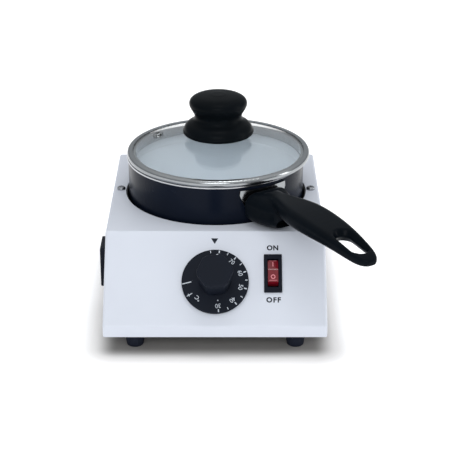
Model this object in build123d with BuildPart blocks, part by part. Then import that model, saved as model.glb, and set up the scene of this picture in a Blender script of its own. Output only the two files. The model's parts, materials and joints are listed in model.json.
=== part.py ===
from build123d import *
import os
from math import atan2, sin, cos, radians, sqrt

os.makedirs("parts", exist_ok=True)

# ---------------------------------------------------------------- driving dimensions (mm)
# The origin is the centre of the whole object's footprint box, at the height its feet stand on.
# +Z is up, +Y is to the rear, the sloped control panel faces -Y and the pan handle points to +X -Y.
POT_X = -12.926              # pan axis
POT_Y = 50.381
BODY_W = 172.0              # console width
TOP_D = 169.0               # depth of the flat top
SLOPE_RUN = 54.9            # control panel: run forwards
SLOPE_DROP = 55.2           # and drop
LIP_H = 9.1                 # short upright fold under the control panel
SHEET = 1.2                 # sheet steel
FOLD_R = 2.2                # outer radius of the folds
FOOT_H = 15.0
BODY_H = SLOPE_DROP + LIP_H
Z_TOP = FOOT_H + BODY_H     # top of the console
HOLE_R = 75.1               # hole that the pan drops through
HOLE_DY = 2.0               # hole centre behind the middle of the flat top

WELL_R = 74.0               # inside radius of the heating well
WELL_FLOOR = Z_TOP - 30.3   # top of its floor
POT_R = 72.5
POT_BASE = Z_TOP - 30.0
POT_RIM = Z_TOP + 31.2
WALL = 2.0
LEDGE_Z = Z_TOP + 18.0      # small step round the inside of the pan

LID_R = 75.3
LID_DX = 2.0                # the lid lies a little to one side, in its play on the pan
HANDLE_AZ = 32.0            # handle direction, from straight ahead towards +X
SCREW_X = 79.2              # the two well screws, each side of the pan

DIAL_V = 42.4               # dial centre, down the panel from its top fold
SW_U, SW_V = 44.7, 35.2     # rocker switch centre on the panel
INLET_Y = -66.8             # power inlet centre, from the middle of the flat top
INLET_Z = Z_TOP - 34.1

TOP_Y = POT_Y - HOLE_DY     # middle of the flat top
Y_FOLD = TOP_Y - TOP_D / 2
Y_REAR = TOP_Y + TOP_D / 2
Y_LIP = Y_FOLD - SLOPE_RUN
X_L, X_R = POT_X - BODY_W / 2, POT_X + BODY_W / 2
SLOPE_A = atan2(SLOPE_DROP, SLOPE_RUN)
CA, SA = cos(SLOPE_A), sin(SLOPE_A)
SLOPE_L = sqrt(SLOPE_RUN ** 2 + SLOPE_DROP ** 2)

# ---------------------------------------------------------------- reference planes


def panel_plane(u, v, d=0.0):
    """Plane on the control panel: u across, v down from the top fold, d outwards."""
    o = (POT_X + u, Y_FOLD - v * CA - d * SA, Z_TOP - v * SA + d * CA)
    return Plane(origin=o, x_dir=(1, 0, 0), z_dir=(0, -SA, CA))


def panel_pt(u, v, d=0.0):
    return panel_plane(u, v, d).origin


POT_SECTION = Plane(origin=(POT_X, POT_Y, 0), x_dir=(1, 0, 0), z_dir=(0, -1, 0))
POT_AXIS = Axis((POT_X, POT_Y, 0), (0, 0, 1))
LID_X = POT_X + LID_DX
LID_SECTION = Plane(origin=(LID_X, POT_Y, 0), x_dir=(1, 0, 0), z_dir=(0, -1, 0))
LID_AXIS = Axis((LID_X, POT_Y, 0), (0, 0, 1))
HD = Vector(sin(radians(HANDLE_AZ)), -cos(radians(HANDLE_AZ)), 0)   # along the handle
HP = Vector(cos(radians(HANDLE_AZ)), sin(radians(HANDLE_AZ)), 0)    # across it


def handle_pt(r, z, off=0.0):
    """Point at radius r from the pan axis along the handle, z above the console top."""
    return (POT_X + HD.X * r + HP.X * off, POT_Y + HD.Y * r + HP.Y * off, Z_TOP + z)


def handle_plane(r, z, slope):
    """Section plane across the handle at radius r, its axis rising by slope degrees."""
    a = radians(slope)
    return Plane(origin=handle_pt(r, z), x_dir=(HP.X, HP.Y, 0),
                 z_dir=(HD.X * cos(a), HD.Y * cos(a), sin(a)))


def save(bp, name):
    bp.part.label = name
    export_step(bp.part, "parts/" + name + ".step")
    b = bp.part.bounding_box()
    BOXES.append((b.min, b.max))


BOXES = []

# ================================================================ console
# ---------------------------------------------------------------- housing_shell
# One folded and welded sheet: flat top, 45 degree control panel, short front lip, sides and rear,
# with a return flange along each side for the base plate's screws.
with BuildPart() as housing_shell:
    with BuildSketch(Plane.YZ.offset(X_L)):
        with BuildLine():
            Polyline((Y_REAR, FOOT_H), (Y_REAR, Z_TOP), (Y_FOLD, Z_TOP),
                     (Y_LIP, Z_TOP - SLOPE_DROP), (Y_LIP, FOOT_H), close=True)
        make_face()
    extrude(amount=BODY_W)
    bottom = housing_shell.faces().sort_by(Axis.Z)[0]
    keep = bottom.edges()
    fillet([e for e in housing_shell.edges() if not any(e.center() == k.center() for k in keep)], FOLD_R)
    offset(amount=-SHEET, openings=housing_shell.faces().sort_by(Axis.Z)[0])
    # side return flanges, above the base plate
    for s, x in ((1, X_L + SHEET), (-1, X_R - SHEET)):
        with BuildSketch(Plane.XY.offset(FOOT_H + SHEET)):
            with Locations((x + s * 5.7, (Y_REAR + Y_LIP) / 2)):
                Rectangle(12.6, Y_REAR - Y_LIP - 2 * SHEET - 6)
        extrude(amount=SHEET)
    # well hole and its two screw holes
    with BuildSketch(Plane.XY.offset(Z_TOP + 1)):
        with Locations((POT_X, POT_Y)):
            Circle(HOLE_R)
        with Locations((POT_X - SCREW_X, POT_Y), (POT_X + SCREW_X, POT_Y)):
            Circle(2.1)
    extrude(amount=-8, mode=Mode.SUBTRACT)
    # dial bush hole, thermostat screw holes and switch cut-out
    with BuildSketch(panel_plane(0, DIAL_V, 2)):
        Circle(5.2)
        with Locations((-14, 0), (14, 0)):
            Circle(1.7)
    extrude(amount=-6, mode=Mode.SUBTRACT)
    with BuildSketch(panel_plane(SW_U, SW_V, 2)):
        Rectangle(12.6, 27.9)
    extrude(amount=-6, mode=Mode.SUBTRACT)
    # power inlet cut-out in the left side
    with BuildSketch(Plane(origin=(X_L - 2, TOP_Y + INLET_Y, INLET_Z), x_dir=(0, -1, 0), z_dir=(-1, 0, 0))):
        Rectangle(20.4, 27.4)
    extrude(amount=-6, mode=Mode.SUBTRACT)
    # base screw holes through the return flanges
    with BuildSketch(Plane.XY.offset(FOOT_H - 1)):
        with Locations(*[(x, TOP_Y + y) for x in (X_L + 7, X_R - 7) for y in (-128, -28, 72)]):
            Circle(1.55)
    extrude(amount=5, mode=Mode.SUBTRACT)
save(housing_shell, "housing_shell")

BASE_SCREWS = [(x, TOP_Y + y) for x in (X_L + 7, X_R - 7) for y in (-128, -28, 72)]
FEET = [(POT_X + s * 62.4, y) for s in (-1, 1) for y in (Y_LIP + 18.0, Y_REAR - 18.0)]
EARTH = (X_L + 24, TOP_Y + INLET_Y - 22)

# ---------------------------------------------------------------- bottom_plate
with BuildPart() as bottom_plate:
    with BuildSketch(Plane.XY.offset(FOOT_H)):
        with Locations((POT_X, (Y_REAR + Y_LIP) / 2)):
            RectangleRounded(BODY_W - 2 * SHEET - 0.8, Y_REAR - Y_LIP - 2 * SHEET - 0.8, 1.5)
        with Locations(*BASE_SCREWS):
            Circle(1.9, mode=Mode.SUBTRACT)
        with Locations(*FEET):
            Circle(2.15, mode=Mode.SUBTRACT)
        with Locations(EARTH):
            Circle(2.05, mode=Mode.SUBTRACT)
        # cooling slots under the heater
        with Locations(*[(POT_X + i * 11.0, POT_Y) for i in range(-3, 4)]):
            SlotOverall(62, 3.2, rotation=90, mode=Mode.SUBTRACT)
    extrude(amount=SHEET)
save(bottom_plate, "bottom_plate")

# ---------------------------------------------------------------- rubber_feet
with BuildPart() as rubber_feet:
    with BuildSketch(Plane.XY):
        with Locations(*FEET):
            Circle(6.5)
    extrude(amount=FOOT_H, taper=-7.6)
    fillet(rubber_feet.edges().group_by(Axis.Z)[0], 0.8)
    with BuildSketch(Plane.XY):
        with Locations(*FEET):
            Circle(4.2)
    extrude(amount=8.0, mode=Mode.SUBTRACT)
    with BuildSketch(Plane.XY):
        with Locations(*FEET):
            Circle(2.1)
    extrude(amount=FOOT_H, mode=Mode.SUBTRACT)
save(rubber_feet, "rubber_feet")

# ---------------------------------------------------------------- foot_screws (M4 pan head, up through each foot)
with BuildPart() as foot_screws:
    with BuildSketch(Plane.XY.offset(5.4)):
        with Locations(*FEET):
            Circle(3.8)
    extrude(amount=2.6)
    fillet(foot_screws.edges().group_by(Axis.Z)[0], 1.0)
    with BuildSketch(Plane.XY.offset(8.0)):
        with Locations(*FEET):
            Circle(2.0)
    extrude(amount=12.6)
    with BuildSketch(Plane.XY.offset(5.4)):
        with Locations(*FEET):
            Rectangle(4.4, 0.9)
            Rectangle(0.9, 4.4)
    extrude(amount=1.3, mode=Mode.SUBTRACT)
save(foot_screws, "foot_screws")

# ---------------------------------------------------------------- foot_nuts
with BuildPart() as foot_nuts:
    with BuildSketch(Plane.XY.offset(FOOT_H + SHEET)):
        with Locations(*FEET):
            RegularPolygon(4.04, 6)
            Circle(2.04, mode=Mode.SUBTRACT)
    extrude(amount=3.2)
save(foot_nuts, "foot_nuts")

# ---------------------------------------------------------------- base_screws (self-tapping, plate to flanges)
with BuildPart() as base_screws:
    with BuildSketch(Plane.XY.offset(FOOT_H - 2.2)):
        with Locations(*BASE_SCREWS):
            Circle(3.2)
    extrude(amount=2.2)
    fillet(base_screws.edges().group_by(Axis.Z)[0], 1.1)
    with BuildSketch(Plane.XY.offset(FOOT_H)):
        with Locations(*BASE_SCREWS):
            Circle(1.5)
    extrude(amount=6.5)
    with BuildSketch(Plane.XY.offset(FOOT_H - 2.2)):
        with Locations(*BASE_SCREWS):
            Rectangle(3.8, 0.8)
            Rectangle(0.8, 3.8)
    extrude(amount=1.1, mode=Mode.SUBTRACT)
save(base_screws, "base_screws")

# ================================================================ heater
# ---------------------------------------------------------------- heating_well
# Drawn can with a flange under the console top and a stud welded under its floor.
FL_Z = Z_TOP - SHEET
with BuildPart() as heating_well:
    with BuildSketch(POT_SECTION):
        with BuildLine():
            Polyline((0, WELL_FLOOR - SHEET), (0, WELL_FLOOR), (WELL_R - 5, WELL_FLOOR))
            RadiusArc((WELL_R - 5, WELL_FLOOR), (WELL_R, WELL_FLOOR + 5), -5)
            Polyline((WELL_R, WELL_FLOOR + 5), (WELL_R, FL_Z), (83.0, FL_Z), (83.0, FL_Z - 1.0),
                     (WELL_R + 1, FL_Z - 1.0), (WELL_R + 1, WELL_FLOOR + 5))
            RadiusArc((WELL_R + 1, WELL_FLOOR + 5), (WELL_R - 5, WELL_FLOOR - SHEET), 6.1)
            Line((WELL_R - 5, WELL_FLOOR - SHEET), (0, WELL_FLOOR - SHEET))
        make_face()
    revolve(axis=POT_AXIS)
    # flange trimmed to the inside of the console
    with BuildSketch(Plane.XY.offset(WELL_FLOOR - SHEET)):
        with Locations((POT_X, POT_Y)):
            RectangleRounded(167, 158, 6)
    extrude(amount=40, mode=Mode.INTERSECT)
    with BuildSketch(Plane.XY.offset(WELL_FLOOR - SHEET)):
        with Locations((POT_X, POT_Y)):
            Circle(2.5)
    extrude(amount=-14)
    with BuildSketch(Plane.XY.offset(Z_TOP)):
        with Locations((POT_X - SCREW_X, POT_Y), (POT_X + SCREW_X, POT_Y)):
            Circle(2.1)
    extrude(amount=-4, mode=Mode.SUBTRACT)
save(heating_well, "heating_well")

# ---------------------------------------------------------------- well_screws and well_nuts
WS = [(POT_X - SCREW_X, POT_Y), (POT_X + SCREW_X, POT_Y)]
with BuildPart() as well_screws:
    with BuildSketch(Plane.XY.offset(Z_TOP)):
        with Locations(*WS):
            Circle(3.5)
    extrude(amount=2.3)
    fillet(well_screws.edges().group_by(Axis.Z)[-1], 1.5)
    with BuildSketch(Plane.XY.offset(Z_TOP)):
        with Locations(*WS):
            Circle(2.0)
    extrude(amount=-9)
    with BuildSketch(Plane.XY.offset(Z_TOP + 2.3)):
        with Locations(*WS):
            Rectangle(4.0, 0.9)
            Rectangle(0.9, 4.0)
    extrude(amount=-1.2, mode=Mode.SUBTRACT)
save(well_screws, "well_screws")

with BuildPart() as well_nuts:
    with BuildSketch(Plane.XY.offset(FL_Z - 1.0)):
        with Locations(*WS):
            RegularPolygon(4.04, 6, rotation=30)
            Circle(2.04, mode=Mode.SUBTRACT)
    extrude(amount=-3.2)
save(well_nuts, "well_nuts")

# ---------------------------------------------------------------- heater_disc, insulation_disc, heater_clamp, clamp_nut
HZ = WELL_FLOOR - SHEET          # underside of the well floor
TABS = [(POT_X - 9, POT_Y + 40), (POT_X + 9, POT_Y + 40)]
BULB_Y = POT_Y - 26
with BuildPart() as heater_disc:
    with BuildSketch(Plane.XY.offset(HZ)):
        with Locations((POT_X, POT_Y)):
            Circle(60)
            Circle(3.2, mode=Mode.SUBTRACT)
        with Locations((POT_X - 16, BULB_Y)):
            Rectangle(96, 6.4, mode=Mode.SUBTRACT)
    extrude(amount=-2)
    with BuildSketch(Plane.XY.offset(HZ - 2)):
        with Locations(*TABS):
            Rectangle(6.3, 0.8)
    extrude(amount=-13)
save(heater_disc, "heater_disc")

with BuildPart() as insulation_disc:
    with BuildSketch(Plane.XY.offset(HZ - 2)):
        with Locations((POT_X, POT_Y)):
            Circle(62)
            Circle(3.2, mode=Mode.SUBTRACT)
        with Locations((POT_X - 16, BULB_Y)):
            Rectangle(100, 6.4, mode=Mode.SUBTRACT)
        with Locations(*TABS):
            Rectangle(9, 4, mode=Mode.SUBTRACT)
    extrude(amount=-5)
save(insulation_disc, "insulation_disc")

with BuildPart() as heater_clamp:
    with BuildSketch(Plane.XY.offset(HZ - 7)):
        with Locations((POT_X, POT_Y)):
            Circle(57)
            Circle(2.7, mode=Mode.SUBTRACT)
        with Locations(*TABS):
            Rectangle(11, 6, mode=Mode.SUBTRACT)
        with Locations((POT_X - 48, BULB_Y)):
            Rectangle(34, 7, mode=Mode.SUBTRACT)
    extrude(amount=-1.2)
save(heater_clamp, "heater_clamp")

with BuildPart() as clamp_nut:
    with BuildSketch(Plane.XY.offset(HZ - 8.2)):
        with Locations((POT_X, POT_Y)):
            RegularPolygon(4.62, 6)
            Circle(2.54, mode=Mode.SUBTRACT)
    extrude(amount=-4)
save(clamp_nut, "clamp_nut")

# ---------------------------------------------------------------- thermal_cutout (clipped under the clamp plate)
CUT = (POT_X + 26, POT_Y + 18)
with BuildPart() as thermal_cutout:
    with BuildSketch(Plane.XY.offset(HZ - 8.2)):
        with Locations(CUT):
            Circle(8)
    extrude(amount=-7)
    fillet(thermal_cutout.edges().group_by(Axis.Z)[0], 0.8)
    with BuildSketch(Plane.XY.offset(HZ - 12.2)):
        with Locations(CUT):
            Rectangle(33, 6.3)
    extrude(amount=-0.8)
save(thermal_cutout, "thermal_cutout")

# ================================================================ thermostat
TH_D = 24.0
with BuildPart() as thermostat_body:
    with BuildSketch(panel_plane(0, DIAL_V, -SHEET)):
        RectangleRounded(34, 33, 2)
    extrude(amount=-TH_D)
    with BuildSketch(panel_plane(0, DIAL_V, -SHEET)):
        Circle(4.9)
    extrude(amount=2.2)
    with BuildSketch(panel_plane(0, DIAL_V, 2)):
        Circle(3.05)
    extrude(amount=-15, mode=Mode.SUBTRACT)
    with BuildSketch(panel_plane(0, DIAL_V, -SHEET)):
        with Locations((-14, 0), (14, 0)):
            Circle(1.54)
    extrude(amount=-8, mode=Mode.SUBTRACT)
save(thermostat_body, "thermostat_body")

with BuildPart() as thermostat_screws:
    with BuildSketch(panel_plane(0, DIAL_V, 0)):
        with Locations((-14, 0), (14, 0)):
            Circle(2.9)
    extrude(amount=1.2)
    with BuildSketch(panel_plane(0, DIAL_V, 0)):
        with Locations((-14, 0), (14, 0)):
            Circle(1.5)
    extrude(amount=-7)
save(thermostat_screws, "thermostat_screws")

TT = [(-9, 6), (9, 6)]
with BuildPart() as thermostat_terminals:
    with BuildSketch(panel_plane(0, DIAL_V, -SHEET - TH_D)):
        with Locations(*TT):
            Rectangle(6.3, 0.8)
    extrude(amount=-7)
save(thermostat_terminals, "thermostat_terminals")

# ---------------------------------------------------------------- sensor_bulb and capillary_tube
BULB_Z = HZ - 2.6
with BuildPart() as sensor_bulb:
    with BuildSketch(Plane(origin=(POT_X - 28, BULB_Y, BULB_Z), x_dir=(0, 1, 0), z_dir=(1, 0, 0))):
        Circle(2.5)
    extrude(amount=56)
    fillet(sensor_bulb.edges(), 1.5)
save(sensor_bulb, "sensor_bulb")

side = panel_pt(-17, DIAL_V, -14)
with BuildPart() as capillary_tube:
    with BuildLine() as cap_line:
        FilletPolyline((POT_X - 28, BULB_Y, BULB_Z), (POT_X - 55, BULB_Y, BULB_Z),
                       (POT_X - 58, BULB_Y - 16, 40), (POT_X - 34, BULB_Y - 60, 44),
                       (side.X - 12, side.Y, side.Z), (side.X, side.Y, side.Z), radius=4)
    with BuildSketch(Plane(origin=cap_line.line @ 0, z_dir=cap_line.line % 0)):
        Circle(0.8)
    sweep(path=cap_line.line)
save(capillary_tube, "capillary_tube")

# ================================================================ dial (turns)
DIAL_R = 25.9
GRIP_R = 14.0
GRIP_H = 28.0
dial_section = Plane(origin=panel_pt(0, DIAL_V, 0), x_dir=(1, 0, 0), z_dir=(0, -CA, -SA))
# local x across the panel, local y outwards along the dial's axis
DIAL_AXIS = Axis(panel_pt(0, DIAL_V, 0), (0, -SA, CA))
GRIP_FLAT = 12.9           # half the width across the grip's six flats
GRIP_TILT = 6.3            # the first flat faces the figure at the foot of the scale
with BuildPart() as dial_knob:
    # six-sided grip with rounded corners, a little narrower at its foot
    for d, k in ((4.0, 0.88), (GRIP_H, 1.0)):
        with BuildSketch(panel_plane(0, DIAL_V, d)):
            Circle(GRIP_R * k)
            RegularPolygon(GRIP_FLAT * k, 6, major_radius=False, rotation=GRIP_TILT, mode=Mode.INTERSECT)
    loft()
    fillet(dial_knob.faces().sort_by(Axis(panel_pt(0, 0), (0, -SA, CA)))[-1].edges(), 1.2)
    # skirt that carries the scale
    with BuildSketch(dial_section):
        with BuildLine():
            Polyline((0, 4.2), (12.6, 4.2), (DIAL_R - 0.6, 3.5), (DIAL_R, 2.9), (DIAL_R, 1.3), (DIAL_R - 1.4, 1.3),
                     (DIAL_R - 1.4, 2.0), (0, 2.0), close=True)
        make_face()
    revolve(axis=DIAL_AXIS)
    # hub bore and the hollow round it
    with BuildSketch(dial_section):
        with BuildLine():
            Polyline((0, 1.0), (0, 20.0), (3.05, 20.0), (3.05, 3.0), (5.5, 3.0), (5.5, 18.0), (8.0, 18.0), (8.0, 1.0), close=True)
        make_face()
    revolve(axis=DIAL_AXIS, mode=Mode.SUBTRACT)
save(dial_knob, "dial_knob")

with BuildPart() as dial_shaft:
    with BuildSketch(panel_plane(0, DIAL_V, -11.5)):
        Circle(3.0)
    extrude(amount=30.5)
    with BuildSketch(panel_plane(0, DIAL_V, 8.0)):
        with Locations((0, 3.4)):
            Rectangle(8, 2.4)
    extrude(amount=12, mode=Mode.SUBTRACT)
save(dial_shaft, "dial_shaft")

with BuildPart() as dial_spring_clip:
    with BuildSketch(panel_plane(0, DIAL_V, 8.6)):
        with Locations((0, 2.47)):
            Rectangle(2.6, 0.5)
    extrude(amount=9.0)
save(dial_spring_clip, "dial_spring_clip")

# ================================================================ rocker switch
BEZ_W, BEZ_L, BEZ_T = 14.0, 31.0, 1.9
PIV_D = -8.0                # rocker pivot, below the panel face
CREST = 11.8                # rocker crest above its pivot
ROCK_W = 8.0
ROCK_END = 9.4
ROCK_TILT = 10.0            # each way from level
with BuildPart() as switch_housing:
    with BuildSketch(panel_plane(SW_U, SW_V, 0)):
        RectangleRounded(BEZ_W, BEZ_L, 0.7)
    extrude(amount=BEZ_T)
    fillet(switch_housing.edges().group_by(Axis(panel_pt(0, 0), (0, -SA, CA)))[-1], 0.6)
    with BuildSketch(panel_plane(SW_U, SW_V, 0)):
        Rectangle(12.3, 27.6)
    extrude(amount=-20)
    with BuildSketch(panel_plane(SW_U, SW_V, 4)):
        Rectangle(ROCK_W + 0.7, 23.0)
    extrude(amount=-19, mode=Mode.SUBTRACT)
    with BuildSketch(Plane(origin=panel_pt(SW_U - 5.7, SW_V, PIV_D), x_dir=(0, CA, SA), z_dir=(1, 0, 0))):
        Circle(1.5)
    extrude(amount=11.4, mode=Mode.SUBTRACT)
save(switch_housing, "switch_housing")

# Rocker section, about its pivot: t down the panel, h outwards; rolled by the tilt to the ON side at rest.
ct_, st_ = cos(radians(ROCK_TILT)), sin(radians(ROCK_TILT))


def rk(t, h):
    return (t * ct_ - h * st_, t * st_ + h * ct_)


rock_u = Plane(origin=panel_pt(SW_U + ROCK_W / 2, SW_V, PIV_D), x_dir=(0, -CA, -SA), z_dir=(-1, 0, 0))
END_H = CREST - ROCK_END * sin(radians(10)) / cos(radians(10))
with BuildPart() as switch_rocker:
    with BuildSketch(rock_u):
        with BuildLine():
            Polyline(rk(-1.6, CREST - 0.30), rk(-ROCK_END + 0.5, END_H + 0.05))
            Polyline(rk(-ROCK_END + 0.5, END_H + 0.05), rk(-ROCK_END, END_H - 0.5), rk(-10.5, 4.6), rk(-3.4, -2.6),
                     rk(3.4, -2.6), rk(10.5, 4.6), rk(ROCK_END, END_H - 0.5), rk(ROCK_END - 0.5, END_H + 0.05),
                     rk(1.6, CREST - 0.30))
            ThreePointArc(rk(1.6, CREST - 0.30), rk(0, CREST - 0.12), rk(-1.6, CREST - 0.30))
        make_face()
    extrude(amount=ROCK_W)
    with BuildSketch(Plane(origin=panel_pt(SW_U - 5.4, SW_V, PIV_D), x_dir=(0, CA, SA), z_dir=(1, 0, 0))):
        Circle(1.45)
    extrude(amount=10.8)
save(switch_rocker, "switch_rocker")

# Neon lamp under the rocker, held in the floor of the switch cavity
with BuildPart() as switch_lamp:
    with BuildSketch(panel_plane(SW_U, SW_V, -15.0)):
        Circle(1.6)
    extrude(amount=3.6)
save(switch_lamp, "switch_lamp")

ST = [(-2.6, -9.0), (2.6, -9.0), (-2.6, 9.0), (2.6, 9.0)]
with BuildPart() as switch_terminals:
    with BuildSketch(panel_plane(SW_U, SW_V, -20)):
        with Locations(*ST):
            Rectangle(0.8, 4.8)
    extrude(amount=-8)
save(switch_terminals, "switch_terminals")

# ================================================================ power inlet
# Snap-in inlet in the left side, long way up.
IY = TOP_Y + INLET_Y
inlet_plane = Plane(origin=(X_L, IY, INLET_Z), x_dir=(0, -1, 0), z_dir=(-1, 0, 0))
IN_W, IN_H, IN_T = 26.6, 33.3, 5.4
PINS = [(-2.6, 7.0), (-2.6, -7.0), (2.4, 0.0)]
with BuildPart() as inlet_body:
    with BuildSketch(inlet_plane):
        RectangleRounded(IN_W, IN_H, 2.2)
    extrude(amount=IN_T)
    fillet(inlet_body.faces().sort_by(Axis.X)[0].edges(), 0.8)
    with BuildSketch(inlet_plane):
        Rectangle(20.0, 27.0)
    extrude(amount=-17)
    with BuildSketch(inlet_plane.offset(IN_T)):
        with BuildLine():
            Polyline((-7.9, -11.9), (-7.9, 11.9), (3.4, 11.9), (7.9, 7.4), (7.9, -7.4), (3.4, -11.9), close=True)
        make_face()
    extrude(amount=-17, mode=Mode.SUBTRACT)
    with BuildSketch(inlet_plane):
        with Locations(*PINS):
            Rectangle(4.0, 2.0)
    extrude(amount=-18, mode=Mode.SUBTRACT)
save(inlet_body, "inlet_body")

with BuildPart() as inlet_pins:
    with BuildSketch(inlet_plane.offset(-17)):
        with Locations(*PINS):
            Rectangle(4.0, 2.0)
    extrude(amount=14.6)
    with BuildSketch(inlet_plane.offset(-17)):
        with Locations(*PINS):
            Rectangle(4.8, 0.8)
    extrude(amount=-8)
save(inlet_pins, "inlet_pins")

# ================================================================ earth post
with BuildPart() as earth_screw:
    with BuildSketch(Plane.XY.offset(FOOT_H - 1.9)):
        with Locations(EARTH):
            Circle(3.8)
    extrude(amount=1.9)
    fillet(earth_screw.edges().group_by(Axis.Z)[0], 0.8)
    with BuildSketch(Plane.XY.offset(FOOT_H)):
        with Locations(EARTH):
            Circle(2.0)
    extrude(amount=12)
save(earth_screw, "earth_screw")

with BuildPart() as earth_nut:
    with BuildSketch(Plane.XY.offset(FOOT_H + SHEET + 0.8)):
        with Locations(EARTH):
            RegularPolygon(4.04, 6)
            Circle(2.04, mode=Mode.SUBTRACT)
    extrude(amount=3.2)
save(earth_nut, "earth_nut")

# ================================================================ internal wiring
# Each lead is a round tube from one terminal to the next, ending face to face with it.
LEAD_R = 1.1


def pin_end(i):
    u, w = PINS[i]
    return (X_L + 17 + 8, IY - u, INLET_Z + w)


def sw_end(i):
    u, w = ST[i]
    p = panel_pt(SW_U + u, SW_V - w, -28)
    return (p.X, p.Y, p.Z)


def th_end(i):
    u, w = TT[i]
    p = panel_pt(u, DIAL_V - w, -SHEET - TH_D - 7)
    return (p.X, p.Y, p.Z)


def along(p, d, l):
    return (p[0] + d[0] * l, p[1] + d[1] * l, p[2] + d[2] * l)


IN = (0, SA, -CA)           # inwards from the panel
wire_routes = {
    # live: inlet to switch
    "wire_live": [pin_end(0), along(pin_end(0), (1, 0, 0), 9), (POT_X - 40, POT_Y - 82, 34), (POT_X + 20, POT_Y - 80, 33),
                  along(sw_end(2), IN, 9), sw_end(2)],
    # neutral: inlet to heater tab
    "wire_neutral": [pin_end(1), along(pin_end(1), (1, 0, 0), 9), (POT_X - 52, POT_Y - 40, 25), (POT_X - 42, POT_Y + 24, 25),
                     (TABS[0][0], TABS[0][1], 23.5), (TABS[0][0], TABS[0][1], HZ - 15)],
    # switched live: switch to thermostat
    "wire_switched": [sw_end(0), along(sw_end(0), IN, 7), along(th_end(1), IN, 5), th_end(1)],
    # thermostat to thermal cut-out
    "wire_thermostat": [th_end(0), along(th_end(0), IN, 5), (POT_X - 6, POT_Y - 48, 24), (POT_X - 8, POT_Y - 8, 25),
                        (CUT[0] - 22, CUT[1], HZ - 12.6), (CUT[0] - 16.5, CUT[1], HZ - 12.6)],
    # cut-out to the heater's other tab
    "wire_heater": [(CUT[0] + 16.5, CUT[1], HZ - 12.6), (CUT[0] + 25, CUT[1], HZ - 12.6), (CUT[0] + 20, CUT[1] + 18, 26),
                    (TABS[1][0] + 8, TABS[1][1] + 6, 23.5), (TABS[1][0], TABS[1][1], 24.0), (TABS[1][0], TABS[1][1], HZ - 15)],
    # earth: inlet to the earth post
    "wire_earth": [pin_end(2), along(pin_end(2), (1, 0, 0), 8), (X_L + 40, EARTH[1] + 6, 26), (EARTH[0] + 15, EARTH[1], FOOT_H + SHEET + 1.6), (EARTH[0] + 5.4, EARTH[1], FOOT_H + SHEET + 1.6)],
}
wire_r = {"wire_live": 3.5, "wire_neutral": 3.5, "wire_switched": 2.2, "wire_thermostat": 2.4, "wire_heater": 3.0, "wire_earth": 3.5}
for name, pts in wire_routes.items():
    with BuildPart() as lead:
        with BuildLine() as run:
            FilletPolyline(*pts, radius=wire_r[name])
        with BuildSketch(Plane(origin=run.line @ 0, z_dir=run.line % 0)):
            Circle(LEAD_R)
        sweep(path=run.line)
        if name == "wire_earth":
            # ring terminal under the earth nut
            with BuildSketch(Plane.XY.offset(FOOT_H + SHEET)):
                with Locations(EARTH):
                    Circle(4.2)
                    Circle(2.05, mode=Mode.SUBTRACT)
                with Locations((EARTH[0] + 7.2, EARTH[1])):
                    Rectangle(7, 3.4)
            extrude(amount=0.8)
    print(name, "volume / section x length", round(lead.part.volume / (3.14159265 * LEAD_R ** 2 * sum(e.length for e in run.edges())), 3))
    save(lead, name)

# ================================================================ pan (lifts out)
with BuildPart() as pot_pan:
    with BuildSketch(POT_SECTION):
        with BuildLine():
            Polyline((0, POT_BASE + 3.0), (0, POT_BASE), (POT_R - 9, POT_BASE))
            RadiusArc((POT_R - 9, POT_BASE), (POT_R - 0.3, POT_BASE + 8.7), -8.7)
            Polyline((POT_R - 0.3, POT_BASE + 8.7), (POT_R, POT_RIM - 2.2), (POT_R + 0.5, POT_RIM - 1.7))
            ThreePointArc((POT_R + 0.5, POT_RIM - 1.7), (POT_R + 0.9, POT_RIM - 0.8), (POT_R + 0.3, POT_RIM))
            Polyline((POT_R + 0.3, POT_RIM), (POT_R - WALL + 0.5, POT_RIM), (POT_R - WALL, POT_RIM - 0.6),
                     (POT_R - WALL, LEDGE_Z), (POT_R - WALL - 0.7, LEDGE_Z - 0.7), (POT_R - WALL - 0.9, POT_BASE + 9.7))
            RadiusArc((POT_R - WALL - 0.9, POT_BASE + 9.7), (POT_R - WALL - 7.6, POT_BASE + 3.0), 6.7)
            Line((POT_R - WALL - 7.6, POT_BASE + 3.0), (0, POT_BASE + 3.0))
        make_face()
    revolve(axis=POT_AXIS)
    # two rivet holes behind the handle bracket
    with BuildSketch(Plane(origin=handle_pt(80, 14.0), x_dir=(HP.X, HP.Y, 0), z_dir=(HD.X, HD.Y, 0))):
        with Locations((-9, 0), (9, 0)):
            Circle(2.05)
    extrude(amount=-14, mode=Mode.SUBTRACT)
save(pot_pan, "pot_pan")

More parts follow.
